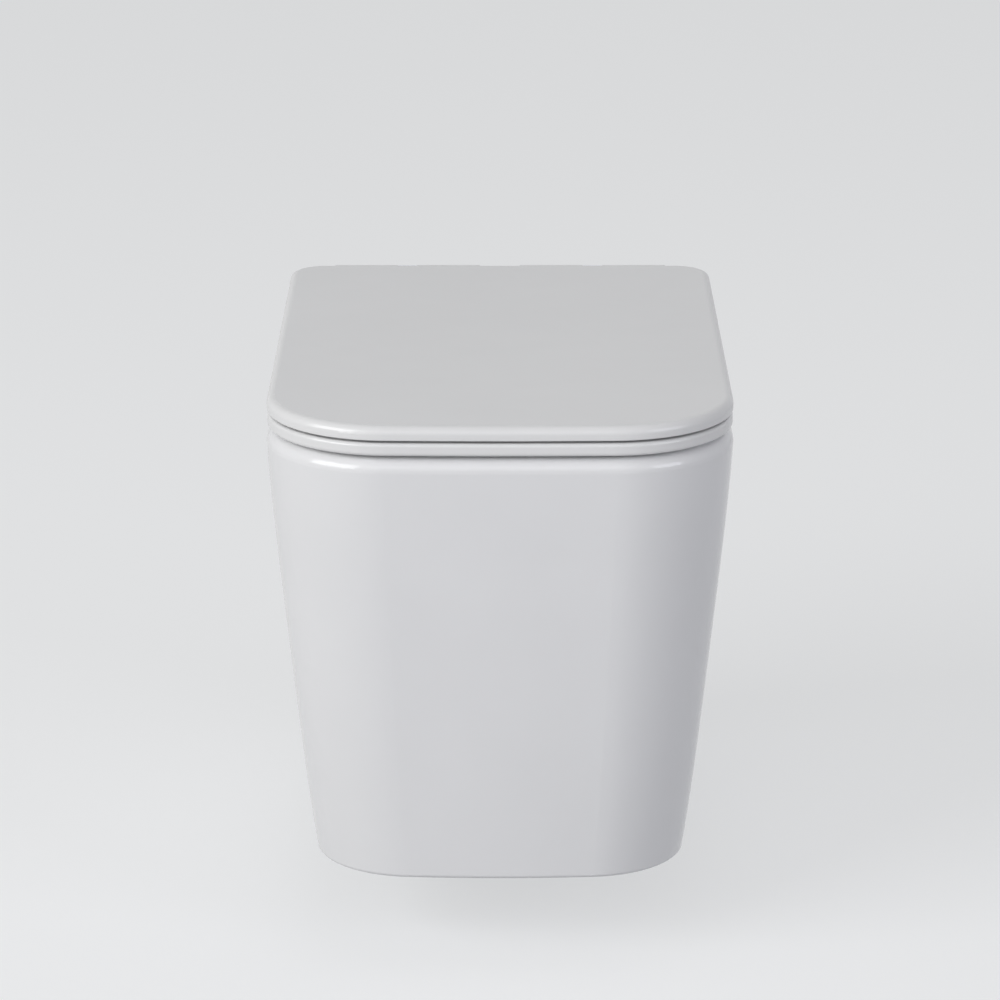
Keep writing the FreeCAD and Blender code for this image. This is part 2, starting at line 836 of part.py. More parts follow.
def make_lid():
    body = new_body("lid_plate_form")
    rim = outline(body, "lid_outline", "lid_underside", "lid_half", "lid_front", "lid_back",
                  "pan_corner_top", "pan_bow_top", "lid_corner_back")
    pad(body, rim, "lid_thickness")
    round_edges(body, "lid_top_round", lambda e: lies_at(e, number("lid_top")))
    round_edges(body, "lid_lower_round", lambda e: lies_at(e, number("lid_underside")))
    recess = outline(
        body, "lid_recess", "lid_underside", "lid_half - lid_edge_band",
        "lid_front - lid_edge_band", "lid_back + lid_edge_band",
        "pan_corner_top - lid_edge_band", "pan_bow_top - lid_edge_band",
        "lid_corner_back - lid_edge_band",
    )
    pocket(body, recess, "lid_thickness - lid_plate", True)
    knuckle = rod("lid_knuckle_barrel", "X", ("lid_knuckle_inner", *HINGE_LINE),
                  "knuckle_radius", "lid_knuckle_length")
    bridge = block(
        "lid_knuckle_bridge",
        ("lid_knuckle_inner", "-lid_back - lid_edge_band", "lid_underside + lid_lower_round"),
        ("lid_knuckle_outer", "-hinge_from_wall", "lid_top - lid_top_round"),
    )
    knuckle_right = fuse("lid_knuckle", knuckle, bridge)
    whole = fuse("lid_whole", body, knuckle_right, mirrored("lid_knuckle_left", knuckle_right))
    bore = knuckle_way("lid_bore", "lid_knuckle_inner - cut_past",
                       "lid_knuckle_outer - knuckle_blind_end")
    holes = peg_holes("lid_peg_hole", "lid_pad_middle", "lid_recess_top")
    return cut("lid", whole, bore, mirrored("lid_bore_left", bore), *holes)


def make_seat():
    body = new_body("seat_ring_form")
    rim = outline(body, "seat_outline", "seat_underside", "lid_half - seat_inset",
                  "lid_front - seat_inset", "seat_back", "pan_corner_top - seat_inset",
                  "pan_bow_top - seat_inset", "lid_corner_back - seat_inset")
    pad(body, rim, "seat_thickness")
    round_edges(
        body, "seat_edge_round",
        lambda e: lies_at(e, number("seat_top")) or lies_at(e, number("seat_underside")),
    )
    hole = outline(body, "seat_hole", "seat_underside", "seat_hole_half", "seat_hole_front",
                   "seat_hole_back", "seat_hole_corner_front", "seat_hole_bow",
                   "seat_hole_corner_back")
    pocket(body, hole, "seat_thickness", True)
    round_edges(
        body, "seat_hole_round",
        lambda e: lies_at(e, number("seat_top")) and e.BoundBox.YMax < -number("seat_hole_back - 1")
        and e.BoundBox.YMin > -number("seat_hole_front + 1")
        and abs(e.BoundBox.Center.x) + e.BoundBox.XLength / 2 < number("seat_hole_half + 1"),
    )
    barrel = rod("seat_knuckle_barrel", "X", ("seat_knuckle_inner", *HINGE_LINE),
                 "knuckle_radius", "seat_knuckle_length")
    arm = block(
        "seat_arm",
        ("seat_knuckle_inner", "-seat_back - 2 * seat_edge_round", "seat_top - seat_arm_drop"),
        ("seat_knuckle_outer", "-hinge_from_wall - knuckle_radius / 2", "seat_top"),
    )
    right = fuse("seat_knuckle", barrel, arm)
    whole = fuse("seat_whole", body, right, mirrored("seat_knuckle_left", right))
    bore = knuckle_way("seat_bore", "seat_knuckle_inner + knuckle_blind_end",
                       "seat_knuckle_outer + cut_past")
    holes = peg_holes("seat_peg_hole", "seat_pad_middle", "seat_underside")
    return cut("seat_ring", whole, bore, mirrored("seat_bore_left", bore), *holes)


def on_pegs(name, feet, centre_x, foot_level, level):
    """The pads, each a soft foot with its lower edge rounded and the peg that holds it."""
    stems = four_rods(name + "_peg", centre_x, level, "pad_peg_radius", "pad_peg_length")
    pads = []
    for foot, stem in zip(feet, stems):
        under = number(foot_level)
        soft = rounded(foot.Name + "_soft", foot, ("pad_foot_round", lambda e: lies_at(e, under)))
        pads.append(fuse(foot.Name + "_whole", soft, stem))
    return group(name, *pads)


def make_lid_pads():
    feet = four_rods("lid_pad", "lid_pad_middle", "seat_top + seat_clearance", "lid_pad_radius",
                     "lid_recess_top - seat_top - seat_clearance")
    return on_pegs("lid_buffers", feet, "lid_pad_middle", "seat_top + seat_clearance",
                   "lid_recess_top")


def make_seat_pads():
    """Four long soft pads that lie along the rim under the seat ring."""
    feet = []
    low, high = "pan_top + seat_clearance", "seat_underside"
    half = "(seat_pad_length - seat_pad_width) / 2"
    for end in ("front", "back"):
        y = f"-pad_{end}_from_wall"
        ends = [
            rod(f"seat_pad_{end}_{i}", "Z", ("seat_pad_middle", f"{y} + {side} * {half}", low),
                "seat_pad_width / 2", f"({high}) - ({low})")
            for i, side in enumerate(("-1", "1"))
        ]
        middle = block(
            f"seat_pad_{end}_middle",
            ("seat_pad_middle - seat_pad_width / 2", f"{y} - {half}", low),
            ("seat_pad_middle + seat_pad_width / 2", f"{y} + {half}", high),
        )
        foot = fuse(f"seat_pad_{end}", middle, *ends)
        foot.Refine = True
        feet.append(foot)
    feet += [mirrored(foot.Name + "_left", foot) for foot in feet]
    return on_pegs("seat_buffers", feet, "seat_pad_middle", low, "seat_underside")


# ---------------------------------------------------------------- hinges


def flat_sided(name, low, length, grow):
    """A pin's end with two flats, top and bottom, that keeps it from turning in the post."""
    bar = rod(name + "_bar", "X", (low, *HINGE_LINE), f"pin_radius + {grow}", length)
    half = f"(pin_flat_half + {grow})"
    flats = block(
        name + "_flats",
        (low, "-hinge_from_wall - 2 * pin_radius", f"hinge_height - {half}"),
        (f"{low} + {length}", "-hinge_from_wall + 2 * pin_radius", f"hinge_height + {half}"),
    )
    return common(name, bar, flats)


def make_post():
    barrel = rod("post_barrel", "X", ("post_inner", *HINGE_LINE), "knuckle_radius", "post_width")
    stem = block(
        "post_stem",
        ("post_inner", "-hinge_from_wall - post_stem_half", "base_disc_top"),
        ("post_outer", "-hinge_from_wall + post_stem_half", "hinge_height"),
    )
    hole_at = ("hinge_spacing / 2", "-hinge_hole_from_wall")
    foot = rod("post_foot", "Z", (*hole_at, "base_disc_top"), "post_width / 2",
               "post_foot_top - base_disc_top")
    toe = block(
        "post_toe",
        ("post_inner", "-hinge_hole_from_wall", "base_disc_top"),
        ("post_outer", "-hinge_from_wall", "post_foot_top"),
    )
    whole = fuse("post_whole", barrel, stem, foot, toe)
    pin_way = flat_sided("post_pin_way", "post_inner - cut_past",
                         "(post_width + 2 * cut_past)", "running_clearance")
    screw_way = rod("post_screw_way", "Z", (*hole_at, "base_disc_top - cut_past"),
                    "hinge_screw_radius + screw_hole_clearance", "post_foot_top")
    head_way = rod("post_head_way", "Z", (*hole_at, "screw_seat"),
                   "hinge_screw_head_radius + seat_clearance", "hinge_height")
    return cut("hinge_post_right", whole, pin_way, screw_way, head_way)


def make_pin(name, where, reach):
    """A right-hand hinge pin: its flat end stands in the post, its round end in a knuckle."""
    if where == "seat":
        flat_low, round_low = "post_inner", f"seat_knuckle_outer - {reach}"
    else:
        flat_low, round_low = "hinge_spacing / 2 + seat_clearance / 2", "post_outer"
    flat = flat_sided(name + "_end", flat_low, "(post_width / 2 - seat_clearance / 2)", "0")
    shaft = rod(name + "_round", "X", (round_low, *HINGE_LINE), "pin_radius",
                f"{reach} + knuckle_end_gap")
    return fuse(name, flat, shaft)


def hollow_barrel(name, where, length, bore_depth):
    """A round insert for a right-hand knuckle, bored from the end that faces the post."""
    if where == "seat":
        low, bore_low = f"seat_knuckle_outer - {length}", f"seat_knuckle_outer - {bore_depth}"
    else:
        low, bore_low = "lid_knuckle_inner", "lid_knuckle_inner - cut_past"
    skin = rod(name + "_skin", "X", (low, *HINGE_LINE), "damper_radius", length)
    bore = rod(name + "_bore", "X", (bore_low, *HINGE_LINE), "pin_radius + running_clearance",
               f"{bore_depth} + cut_past")
    return skin, bore, low


def make_damper(name, where):
    """A slow-close damper's case, with the key that holds it in its knuckle."""
    skin, bore, low = hollow_barrel(name, where, "damper_length", "(pin_in_damper + pin_end_room)")
    key = block(
        name + "_key",
        (low, "-hinge_from_wall - damper_key_width / 2",
         "hinge_height - damper_radius - damper_key_height"),
        (f"{low} + damper_length", "-hinge_from_wall + damper_key_width / 2",
         "hinge_height - pin_radius - running_clearance"),
    )
    return cut(name, fuse(name + "_case", skin, key), bore)


def make_bush(name, where):
    skin, bore, _ = hollow_barrel(name, where, "bush_length", "(bush_length + cut_past)")
    return cut(name, skin, bore)


def make_hinge_fixing():
    """The disc, gasket, screw, rubber sleeve and nut at the right hinge hole."""
    at = ("hinge_spacing / 2", "-hinge_hole_from_wall")
    way = rod("hinge_screw_way", "Z", (*at, "pan_base"),
              "hinge_screw_radius + screw_hole_clearance", "pan_height * 2")
    gasket = cut("gasket_right",
                 rod("gasket_disc", "Z", (*at, "pan_top"), "base_disc_radius - gasket_inset",
                     "gasket_thickness"), way)
    disc = cut("hinge_base_right",
               rod("base_disc", "Z", (*at, "pan_top + gasket_thickness"), "base_disc_radius",
                   "base_disc_thickness"), way)
    head = rod("hinge_screw_head", "Z", (*at, "screw_seat"), "hinge_screw_head_radius",
               "hinge_screw_head_height")
    shank = rod("hinge_screw_shank", "Z", (*at, "screw_seat - hinge_screw_length"),
                "hinge_screw_radius", "hinge_screw_length")
    socket = hexagon("hinge_screw_socket", "Z",
                     (*at, "screw_seat + hinge_screw_head_height / 3"),
                     "hinge_socket_flats", "hinge_screw_head_height")
    screw = cut("hinge_screw_right", fuse("hinge_screw_body", head, shank), socket)
    shoulder = "deck_underside - seat_clearance"
    cone_height = "(sleeve_flare_radius - sleeve_radius)"
    neck = rod("sleeve_neck", "Z", (*at, shoulder), "sleeve_radius", "deck_thickness")
    flare = cone("sleeve_cone", (*at, f"{shoulder} - {cone_height}"), "sleeve_flare_radius",
                 "sleeve_radius", cone_height)
    foot = rod("sleeve_foot", "Z", (*at, f"{shoulder} - {cone_height} - sleeve_flare_length"),
               "sleeve_flare_radius", "sleeve_flare_length")
    sleeve = cut("sleeve_right", fuse("sleeve_body", neck, flare, foot), way)
    nut_body = cone("nut_cone",
                    (*at, f"{shoulder} - {cone_height} - sleeve_flare_length - nut_cone_height"),
                    "sleeve_radius", "sleeve_flare_radius - nut_edge_inset", "nut_cone_height")
    nut = cut("hinge_nut_right", nut_body,
              rod("nut_thread", "Z", (*at, "pan_base"), "hinge_screw_radius + thread_clearance",
                  "pan_height"))
    return gasket, disc, screw, sleeve, nut


# ---------------------------------------------------------------- wall fixings


def make_bracket():
    """The angle that sits on the right wall stud and takes the pan's side screw."""
    rear = block("bracket_rear", ("bracket_inner", "-bracket_plate", "-bracket_half_height"),
                 ("bracket_outer", "0", "bracket_half_height"))
    side = block("bracket_side",
                 ("bracket_outer - bracket_plate", "-bracket_reach", "-bracket_half_height"),
                 ("bracket_outer", "0", "bracket_half_height"))
    stud_way = rod("bracket_stud_way", "Y", ("stud_spacing / 2", "-bracket_plate - cut_past", "0"),
                   "stud_hole_radius", "bracket_plate + 2 * cut_past")
    screw_way = rod("bracket_screw_way", "X",
                    ("bracket_outer - bracket_plate - cut_past", "-side_screw_from_wall", "0"),
                    "side_screw_radius + thread_clearance", "bracket_plate + 2 * cut_past")
    angle = fuse("bracket_angle", rear, side)
    return cut("wall_bracket_right", angle, stud_way, screw_way)


def make_stud_hardware():
    """The washer and nut that go on the right wall stud."""
    washer = cut(
        "stud_washer_right",
        rod("washer_disc", "Y",
            ("stud_spacing / 2", "-bracket_plate - stud_washer_thickness", "0"),
            "stud_washer_radius", "stud_washer_thickness"),
        rod("washer_way", "Y", ("stud_spacing / 2", "-bracket_reach", "0"),
            "stud_hole_radius", "bracket_reach"),
    )
    nut_low = "-bracket_plate - stud_washer_thickness - stud_nut_height"
    nut = cut(
        "stud_nut_right",
        hexagon("stud_nut_body", "Y", ("stud_spacing / 2", nut_low, "0"), "stud_nut_flats",
                "stud_nut_height"),
        rod("stud_nut_way", "Y", ("stud_spacing / 2", "-bracket_reach", "0"),
            "stud_nut_bore", "bracket_reach"),
    )
    return washer, nut


def make_side_fixing():
    """The bush in the right rib and the screw through it into the bracket."""
    at = ("-side_screw_from_wall", "0")
    barrel = rod("rib_bush_barrel", "X", ("bracket_outer", *at), "rib_bush_radius",
                 "rib_outer - bracket_outer")
    flange = rod("rib_bush_rim", "X", ("rib_outer", *at), "rib_bush_flange_radius",
                 "rib_bush_flange")
    way = rod("rib_bush_way", "X", ("bracket_outer - cut_past", *at),
              "side_screw_radius + thread_clearance", "rib_outer")
    bush = cut("rib_bush_right", fuse("rib_bush_body", barrel, flange), way)
    seat = "rib_outer + rib_bush_flange"
    tip = "bracket_outer - bracket_plate - side_screw_tail"
    shank = rod("side_screw_shank", "X", (tip, *at), "side_screw_radius", f"{seat} - ({tip})")
    head = rod("side_screw_head", "X", (seat, *at), "side_screw_head_radius",
               "side_screw_head_height")
    socket = hexagon("side_screw_socket", "X", (f"{seat} + side_screw_head_height / 3", *at),
                     "side_socket_flats", "side_screw_head_height")
    return bush, cut("side_screw_right", fuse("side_screw_body", shank, head), socket)


def make_side_cap(point, normal):
    """The cap in the access hole, lying square to the pan's side there."""
    flange = rod("cap_flange_disc", "Z", ("0", "0", "seat_clearance"), "cap_flange_radius",
                 "cap_flange")
    plug = rod("cap_plug", "Z", ("0", "0", "-cap_plug_length"),
               "access_hole_radius - seat_clearance", "cap_plug_length + 2 * seat_clearance")
    hollow = rod("cap_hollow", "Z", ("0", "0", "-cap_plug_length - cut_past"),
                 "access_hole_radius - seat_clearance - cap_plug_wall",
                 "cap_plug_length + cut_past")
    cap = cut("side_cap_form", fuse("cap_body", flange, plug), hollow)
    rim = number("seat_clearance + cap_flange")
    smooth = rounded("side_cap_right", cap, ("cap_rim_round", lambda e: lies_at(e, rim)))
    turn = FreeCAD.Rotation(FreeCAD.Vector(0, 0, 1), normal)
    smooth.Placement = FreeCAD.Placement(point, turn)
    return smooth


# ---------------------------------------------------------------- the assembly

pan, access_point, access_normal = make_pan()
gasket, hinge_base, hinge_screw, sleeve, hinge_nut = make_hinge_fixing()
hinge_post = make_post()
bracket = make_bracket()
stud_washer, stud_nut = make_stud_hardware()
rib_bush, side_screw = make_side_fixing()
side_cap = make_side_cap(access_point, access_normal)

NODES = [
    pan,
    make_lid(),
    make_seat(),
    make_lid_pads(),
    make_seat_pads(),
    pair("hinge_gaskets", gasket),
    hinge_base,
    mirrored("hinge_base_left", hinge_base),
    hinge_post,
    mirrored("hinge_post_left", hinge_post),
    pair("hinge_screws", hinge_screw),
    pair("expanding_sleeves", sleeve),
    pair("hinge_nuts", hinge_nut),
    make_damper("lid_damper", "lid"),
    make_pin("lid_damper_shaft", "lid", "pin_in_damper"),
    mirrored("seat_damper", make_damper("seat_damper_form", "seat")),
    mirrored("seat_damper_shaft", make_pin("seat_damper_shaft_form", "seat", "pin_in_damper")),
    mirrored("lid_bush", make_bush("lid_bush_form", "lid")),
    mirrored("lid_hinge_pin", make_pin("lid_hinge_pin_form", "lid", "pin_in_bush")),
    make_bush("seat_bush", "seat"),
    make_pin("seat_hinge_pin", "seat", "pin_in_bush"),
    bracket,
    mirrored("wall_bracket_left", bracket),
    pair("stud_washers", stud_washer),
    pair("stud_nuts", stud_nut),
    pair("rib_bushes", rib_bush),
    pair("side_screws", side_screw),
    pair("side_caps", side_cap),
]
doc.recompute()

for thing in doc.Objects:
    assert "Invalid" not in thing.State and "Error" not in thing.State, thing.Name
for node in NODES:
    assert not node.Shape.isNull() and node.Shape.isValid(), node.Label
    assert node.Shape.Solids and node.Shape.Volume > 0, node.Label

os.makedirs("parts", exist_ok=True)
for node in NODES:
    node.Shape.exportStep(f"parts/{node.Label}.step")
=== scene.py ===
import math

import bpy
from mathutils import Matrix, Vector


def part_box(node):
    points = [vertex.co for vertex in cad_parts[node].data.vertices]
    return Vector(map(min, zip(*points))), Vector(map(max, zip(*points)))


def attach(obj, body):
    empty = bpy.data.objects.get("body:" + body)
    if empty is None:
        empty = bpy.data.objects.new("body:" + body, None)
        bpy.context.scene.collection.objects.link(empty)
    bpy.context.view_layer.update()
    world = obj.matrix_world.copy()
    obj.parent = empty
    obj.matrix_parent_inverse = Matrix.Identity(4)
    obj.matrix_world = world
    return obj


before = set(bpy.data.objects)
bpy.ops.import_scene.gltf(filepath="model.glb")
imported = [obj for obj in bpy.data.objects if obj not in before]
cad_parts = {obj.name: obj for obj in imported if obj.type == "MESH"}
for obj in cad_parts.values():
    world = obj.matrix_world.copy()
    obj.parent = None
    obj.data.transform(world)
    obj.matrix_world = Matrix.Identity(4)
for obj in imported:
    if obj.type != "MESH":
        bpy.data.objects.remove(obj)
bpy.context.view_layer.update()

# A white wall hung toilet: glazed ceramic pan, slim seat ring and flat lid. Metres, +Z up, the
# wall is the plane y = 0, and the toilet stands out along -Y over a pale floor.

MM = 0.001


# ---------------------------------------------------------------- nodes and colours


def linear(hex_colour):
    """An sRGB hex colour as the linear RGBA that the shaders take."""
    shares = [int(hex_colour[i:i + 2], 16) / 255 for i in (1, 3, 5)]
    return [c / 12.92 if c <= 0.04045 else ((c + 0.055) / 1.055) ** 2.4 for c in shares] + [1.0]


def add(tree, kind, inputs, out=0, **settings):
    """Adds a node and gives its output of that name or number, or with None all its outputs.

    inputs maps an input's name or number to a socket to link, a hex colour or another value.
    """
    node = tree.nodes.new(kind)
    for name, value in settings.items():
        setattr(node, name, value)
    for key, value in inputs.items():
        if isinstance(value, bpy.types.NodeSocket):
            tree.links.new(value, node.inputs[key])
        else:
            node.inputs[key].default_value = linear(value) if isinstance(value, str) else value
    return node.outputs if out is None else node.outputs[out]


def finish(name, surface):
    """A material whose shader surface(tree, place) gives; place is the object's own."""
    material = bpy.data.materials.new(name)
    material.use_nodes = True
    tree = material.node_tree
    tree.nodes.clear()
    place = add(tree, "ShaderNodeTexCoord", {}, "Object")
    add(tree, "ShaderNodeOutputMaterial", {"Surface": surface(tree, place)}, None)
    return material


# ---------------------------------------------------------------- finishes

# The pan's bare edge: y where it starts and where it is whole, and how far its limit wanders.
BARE_EDGE_STARTS, BARE_EDGE_WHOLE, BARE_EDGE_WANDER = -1.2 * MM, -0.2 * MM, 1.6 * MM

# The hollow of the shroud lies between two heights. Its half width is a parabola in z, which
# grows a little away from the wall.
HOLLOW_FLOOR, HOLLOW_TOP = -260.5 * MM, 74 * MM
HOLLOW_HALF, HOLLOW_WIDENING, HOLLOW_BULGE = 162.4 * MM, 0.0906, -0.0860
HOLLOW_FLARE = -0.01335

# The glaze thins out in the hollow towards the wall: y where that starts and ends, how far it
# wanders, and how much of the bare body shows at the end.
THIN_GLAZE_STARTS, THIN_GLAZE_ENDS, THIN_GLAZE_WANDER = -100 * MM, 30 * MM, 100 * MM
THIN_GLAZE_SHOWS = 0.85

TURNING_SCALE = 320.0  # bands 1 mm apart, coarser than real turning marks so that they show


def hollow_side(tree, x, y, z):
    """1 where a point of the pan lies on the inside of the shroud, else 0."""
    half = add(tree, "ShaderNodeMath", {0: z, 1: HOLLOW_BULGE, 2: HOLLOW_WIDENING},
               operation="MULTIPLY_ADD")
    half = add(tree, "ShaderNodeMath", {0: half, 1: z, 2: HOLLOW_HALF}, operation="MULTIPLY_ADD")
    half = add(tree, "ShaderNodeMath", {0: y, 1: HOLLOW_FLARE, 2: half}, operation="MULTIPLY_ADD")
    across = add(tree, "ShaderNodeMath", {0: x}, operation="ABSOLUTE")
    between = add(tree, "ShaderNodeMath", {0: across, 1: half}, operation="LESS_THAN")
    below = add(tree, "ShaderNodeMath", {0: z, 1: HOLLOW_TOP}, operation="LESS_THAN")
    above = add(tree, "ShaderNodeMath", {0: z, 1: HOLLOW_FLOOR}, operation="GREATER_THAN")
    level = add(tree, "ShaderNodeMath", {0: below, 1: above}, operation="MULTIPLY")
    return add(tree, "ShaderNodeMath", {0: between, 1: level}, operation="MULTIPLY")


def bare_body(tree, place):
    """How bare the pan's fired body lies: 1 at the edge on the wall, less in the hollow, else 0."""
    x, y, z = add(tree, "ShaderNodeSeparateXYZ", {0: place}, None)
    ragged = add(tree, "ShaderNodeTexNoise", {"Vector": place, "Scale": 1 / (12 * MM), "Detail": 3})
    limit = add(tree, "ShaderNodeMath", {0: ragged, 1: BARE_EDGE_WANDER, 2: y},
                operation="MULTIPLY_ADD")
    edge = add(tree, "ShaderNodeMapRange", {
        "Value": limit, "From Min": BARE_EDGE_STARTS, "From Max": BARE_EDGE_WHOLE,
    })
    cloudy = add(tree, "ShaderNodeTexNoise", {"Vector": place, "Scale": 1 / (50 * MM), "Detail": 3})
    depth = add(tree, "ShaderNodeMath", {0: cloudy, 1: THIN_GLAZE_WANDER, 2: y},
                operation="MULTIPLY_ADD")
    thinned = add(tree, "ShaderNodeMapRange", {
        "Value": depth, "From Min": THIN_GLAZE_STARTS, "From Max": THIN_GLAZE_ENDS,
        "To Max": THIN_GLAZE_SHOWS,
    })
    thin = add(tree, "ShaderNodeMath", {0: hollow_side(tree, x, y, z), 1: thinned},
               operation="MULTIPLY")
    return add(tree, "ShaderNodeMath", {0: edge, 1: thin}, operation="MAXIMUM")


def glazed_ware(tree, place):
    """Vitreous china with a thick white glaze outside and in the bowl. Behind, the fired body
    shows matt at the edge that meets the wall, and the glaze thins out inside the shroud."""
    bare = bare_body(tree, place)
    cloud = add(tree, "ShaderNodeTexNoise", {"Vector": place, "Scale": 1 / (90 * MM)})
    glaze = add(tree, "ShaderNodeMix", {0: cloud, 6: "#E4E4E5", 7: "#E9E9EA"}, 2, data_type="RGBA")
    fleck = add(tree, "ShaderNodeTexNoise", {"Vector": place, "Scale": 1 / (6 * MM), "Detail": 4})
    body = add(tree, "ShaderNodeMix", {0: fleck, 6: "#DCD7CD", 7: "#E6E2DA"}, 2, data_type="RGBA")
    wavy = add(tree, "ShaderNodeTexNoise", {"Vector": place, "Scale": 1 / (45 * MM), "Detail": 1})
    grit = add(tree, "ShaderNodeTexNoise", {"Vector": place, "Scale": 1 / (1.2 * MM), "Detail": 3})
    grain = add(tree, "ShaderNodeMath", {0: bare, 1: grit}, operation="MULTIPLY")
    relief = add(tree, "ShaderNodeBump", {"Height": wavy, "Distance": 0.1 * MM})
    relief = add(tree, "ShaderNodeBump", {"Height": grain, "Distance": 0.2 * MM, "Normal": relief})
    return add(tree, "ShaderNodeBsdfPrincipled", {
        "Base Color": add(tree, "ShaderNodeMix", {0: bare, 6: glaze, 7: body}, 2, data_type="RGBA"),
        "Roughness": add(tree, "ShaderNodeMapRange", {"Value": bare, "To Min": 0.13, "To Max": 0.82}),
        "IOR": 1.5,
        "Normal": relief,
    })


def pressed_urea(tree, place):
    """Thermoset urea, hot-pressed in a polished mould: hard, white, with a soft even gloss."""
    cloud = add(tree, "ShaderNodeTexNoise", {"Vector": place, "Scale": 1 / (120 * MM)})
    sheen = add(tree, "ShaderNodeTexNoise", {"Vector": place, "Scale": 1 / (30 * MM)})
    fine = add(tree, "ShaderNodeTexNoise", {"Vector": place, "Scale": 1 / (2.2 * MM), "Detail": 1})
    wavy = add(tree, "ShaderNodeTexNoise", {"Vector": place, "Scale": 1 / (50 * MM), "Detail": 1})
    relief = add(tree, "ShaderNodeBump", {"Height": fine, "Distance": 0.008 * MM})
    relief = add(tree, "ShaderNodeBump", {"Height": wavy, "Distance": 0.03 * MM, "Normal": relief})
    return add(tree, "ShaderNodeBsdfPrincipled", {
        "Base Color": add(tree, "ShaderNodeMix", {0: cloud, 6: "#E0E0E0", 7: "#E5E5E5"}, 2,
                          data_type="RGBA"),
        "Roughness": add(tree, "ShaderNodeMapRange",
                         {"Value": sheen, "To Min": 0.22, "To Max": 0.27}),
        "IOR": 1.55,
        "Normal": relief,
    })


def soft_pad(tree, place):
    """Thermoplastic elastomer, injection moulded: milky, slightly rough to the touch."""
    cloud = add(tree, "ShaderNodeTexNoise", {"Vector": place, "Scale": 1 / (4 * MM)})
    grain = add(tree, "ShaderNodeTexNoise", {"Vector": place, "Scale": 1 / (0.8 * MM), "Detail": 3})
    return add(tree, "ShaderNodeBsdfPrincipled", {
        "Base Color": add(tree, "ShaderNodeMix", {0: cloud, 6: "#C9CACA", 7: "#D6D7D6"}, 2,
                          data_type="RGBA"),
        "Roughness": 0.62,
        "Normal": add(tree, "ShaderNodeBump", {"Height": grain, "Distance": 0.06 * MM}),
    })


def plated_zinc_casting(tree, place):
    """Chrome-plated die-cast zinc: mirror bright, with faint hairline polishing marks."""
    stretched = add(tree, "ShaderNodeMapping", {"Vector": place, "Scale": (1, 1, 14)})
    marks = add(tree, "ShaderNodeTexNoise",
                {"Vector": stretched, "Scale": 1 / (3 * MM), "Detail": 4})
    return add(tree, "ShaderNodeBsdfPrincipled", {
        "Base Color": add(tree, "ShaderNodeMix", {0: marks, 6: "#DADCDF", 7: "#E6E7E9"}, 2,
                          data_type="RGBA"),
        "Roughness": add(tree, "ShaderNodeMapRange", {
            "Value": marks, "From Min": 0.3, "From Max": 0.7, "To Min": 0.07, "To Max": 0.16,
        }),
        "Metallic": 1.0,
    })


def turned_steel(tree, place):
    """Stainless steel from the lathe: fine turning marks, a little uneven in tone."""
    rings = add(tree, "ShaderNodeTexWave", {
        "Vector": place, "Scale": TURNING_SCALE, "Distortion": 1.5, "Detail": 2.0,
    }, "Fac", bands_direction="Z")
    cloud = add(tree, "ShaderNodeTexNoise", {"Vector": place, "Scale": 1 / (6 * MM)})
    return add(tree, "ShaderNodeBsdfPrincipled", {
        "Base Color": add(tree, "ShaderNodeMix", {0: cloud, 6: "#B9BBBE", 7: "#CBCCCE"}, 2,
                          data_type="RGBA"),
        "Roughness": add(tree, "ShaderNodeMapRange",
                         {"Value": rings, "To Min": 0.24, "To Max": 0.36}),
        "Metallic": 1.0,
        "Normal": add(tree, "ShaderNodeBump", {"Height": rings, "Distance": 0.02 * MM}),
    })


def zinc_flake(tree, place):
    """Hot-dip galvanised steel plate: grey crystals 5 to 8 mm across, each of its own tone."""
    flakes = add(tree, "ShaderNodeTexVoronoi", {"Vector": place, "Scale": 1 / (6.5 * MM)}, "Color")
    tone = add(tree, "ShaderNodeSeparateColor", {0: flakes})
    grain = add(tree, "ShaderNodeTexNoise", {"Vector": place, "Scale": 1 / (2 * MM), "Detail": 3})
    return add(tree, "ShaderNodeBsdfPrincipled", {
        "Base Color": add(tree, "ShaderNodeMix", {0: tone, 6: "#9FA3A8", 7: "#C3C6CA"}, 2,
                          data_type="RGBA"),
        "Roughness": add(tree, "ShaderNodeMapRange",
                         {"Value": tone, "To Min": 0.34, "To Max": 0.52}),
        "Metallic": 1.0,
        "Normal": add(tree, "ShaderNodeBump", {"Height": grain, "Distance": 0.04 * MM}),
    })


def black_rubber(tree, place):
    """Moulded EPDM rubber: near black, dull, with a bloom of paler dust."""
    dust = add(tree, "ShaderNodeTexNoise", {"Vector": place, "Scale": 1 / (8 * MM), "Detail": 4})
    bloom = add(tree, "ShaderNodeMapRange", {"Value": dust, "From Min": 0.45, "From Max": 0.8})
    grain = add(tree, "ShaderNodeTexNoise", {"Vector": place, "Scale": 1 / (0.6 * MM), "Detail": 3})
    return add(tree, "ShaderNodeBsdfPrincipled", {
        "Base Color": add(tree, "ShaderNodeMix", {0: bloom, 6: "#1C1C1E", 7: "#2E2E30"}, 2,
                          data_type="RGBA"),
        "Roughness": 0.7,
        "Normal": add(tree, "ShaderNodeBump", {"Height": grain, "Distance": 0.05 * MM}),
    })


